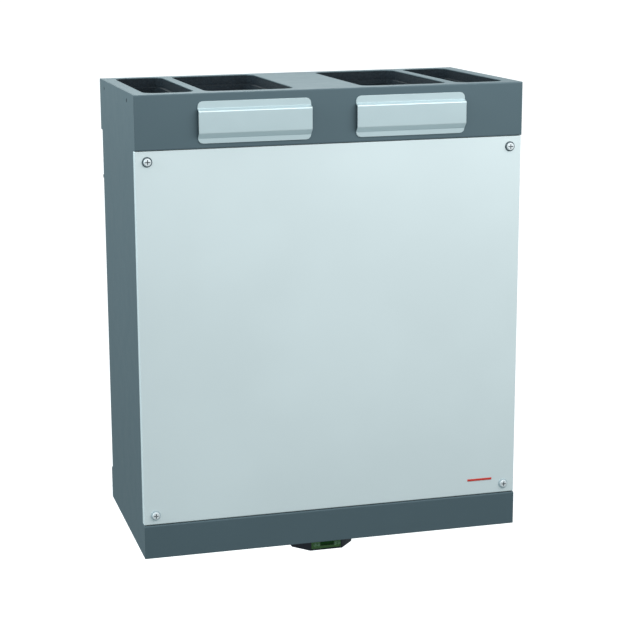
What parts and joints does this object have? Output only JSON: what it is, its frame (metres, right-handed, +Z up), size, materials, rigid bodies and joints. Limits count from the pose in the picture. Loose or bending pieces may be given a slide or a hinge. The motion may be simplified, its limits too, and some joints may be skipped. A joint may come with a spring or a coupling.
{
  "type": "heat recovery unit",
  "caption": "Wall-hung heat recovery unit: steel cabinet on a rail, foam air ways, filters that pull out, exchanger, fans, bypass, screwed front panel, duct ports on top.",
  "frame": {"origin": "middle of the wall rail's back face, on the wall plane", "axes": "+Z up, +Y into the wall, so the front faces -Y; +X to the right as seen from the front"},
  "size_m": [0.5608, 0.2988, 0.6876],
  "materials": {
    "casing_paint": "satin",
    "panel_paint": "satin",
    "cap_silver": "satin",
    "black_foam": "matte",
    "black_rubber": "matte",
    "screw_steel": "satin",
    "zinc_steel": "satin",
    "exchanger_plastic": "satin",
    "white_plastic": "satin",
    "grey_plastic": "satin",
    "dark_plastic": "satin",
    "filter_fleece": "matte",
    "motor_metal": "satin",
    "board_green": "satin",
    "fascia_green": "satin",
    "display_green": "gloss",
    "key_grey": "satin"
  },
  "bodies": {
    "root": {"side_panel_left": "casing_paint", "side_panel_right": "casing_paint", "top_hood": "casing_paint", "base_tray": "casing_paint", "back_panel": "casing_paint", "foam_top": "black_foam", "foam_left": "black_foam", "foam_right": "black_foam", "foam_rear": "black_foam", "foam_floor": "black_foam", "foam_crown": "black_foam", "wall_buffer_left": "black_rubber", "wall_buffer_right": "black_rubber", "exchanger_strap": "black_rubber", "wall_rail": "zinc_steel", "hanger_strip": "zinc_steel", "exchanger_core": "exchanger_plastic", "exchanger_frame": "white_plastic", "bypass_actuator": "white_plastic", "controller_box": "white_plastic", "controller_lid": "white_plastic", "terminal_block": "white_plastic", "fan_scroll_left": "grey_plastic", "fan_scroll_right": "grey_plastic", "condensate_tray": "grey_plastic", "fan_inlet_ring_left": "dark_plastic", "fan_inlet_ring_right": "dark_plastic", "drain_pipe": "dark_plastic", "bypass_frame": "dark_plastic", "power_supply": "dark_plastic", "display_housing": "dark_plastic", "cable_gland": "dark_plastic", "gland_nut": "dark_plastic", "fan_motor_left": "motor_metal", "fan_motor_right": "motor_metal", "control_board": "board_green", "display_fascia": "fascia_green", "display_lcd": "display_green"},
    "front_panel": {"front_panel": "panel_paint", "front_panel_insulation": "black_foam", "front_panel_seal": "black_rubber", "front_panel_screw_1": "screw_steel", "front_panel_screw_2": "screw_steel", "front_panel_screw_3": "screw_steel", "front_panel_screw_4": "screw_steel"},
    "filter_left": {"filter_cap_left": "cap_silver", "filter_frame_left": "grey_plastic", "filter_media_left": "filter_fleece"},
    "filter_right": {"filter_cap_right": "cap_silver", "filter_frame_right": "grey_plastic", "filter_media_right": "filter_fleece"},
    "fan_left": {"fan_impeller_left": "dark_plastic", "fan_shaft_left": "screw_steel"},
    "fan_right": {"fan_impeller_right": "dark_plastic", "fan_shaft_right": "screw_steel"},
    "bypass": {"bypass_blade": "white_plastic"},
    "button_1": {"display_button_1": "key_grey"},
    "button_2": {"display_button_2": "key_grey"},
    "button_3": {"display_button_3": "key_grey"},
    "button_4": {"display_button_4": "key_grey"}
  },
  "joints": [
    {"name": "front_panel_pull", "type": "slide", "parent": "root", "child": "front_panel", "axis": [0, -1, 0], "range_m": [0, 0.3]},
    {"name": "filter_left_pull", "type": "slide", "parent": "root", "child": "filter_left", "axis": [0, -1, 0], "range_m": [0, 0.27]},
    {"name": "filter_right_pull", "type": "slide", "parent": "root", "child": "filter_right", "axis": [0, -1, 0], "range_m": [0, 0.27]},
    {"name": "fan_left_spin", "type": "hinge", "parent": "root", "child": "fan_left", "pos_m": [-0.098, -0.065, -0.311], "axis": [0, 1, 0], "continuous": true},
    {"name": "fan_right_spin", "type": "hinge", "parent": "root", "child": "fan_right", "pos_m": [0.098, -0.065, -0.311], "axis": [0, 1, 0], "continuous": true},
    {"name": "bypass_swing", "type": "hinge", "parent": "root", "child": "bypass", "pos_m": [-0.1295, -0.049, 0.045], "axis": [1, 0, 0], "range_deg": [0, 90]},
    {"name": "button_1_press", "type": "slide", "parent": "root", "child": "button_1", "axis": [0, 1, 0], "range_m": [0, 0.0007], "stiffness_N_per_m": 500},
    {"name": "button_2_press", "type": "slide", "parent": "root", "child": "button_2", "axis": [0, 1, 0], "range_m": [0, 0.0007], "stiffness_N_per_m": 500},
    {"name": "button_3_press", "type": "slide", "parent": "root", "child": "button_3", "axis": [0, 1, 0], "range_m": [0, 0.0007], "stiffness_N_per_m": 500},
    {"name": "button_4_press", "type": "slide", "parent": "root", "child": "button_4", "axis": [0, 1, 0], "range_m": [0, 0.0007], "stiffness_N_per_m": 500}
  ]
}
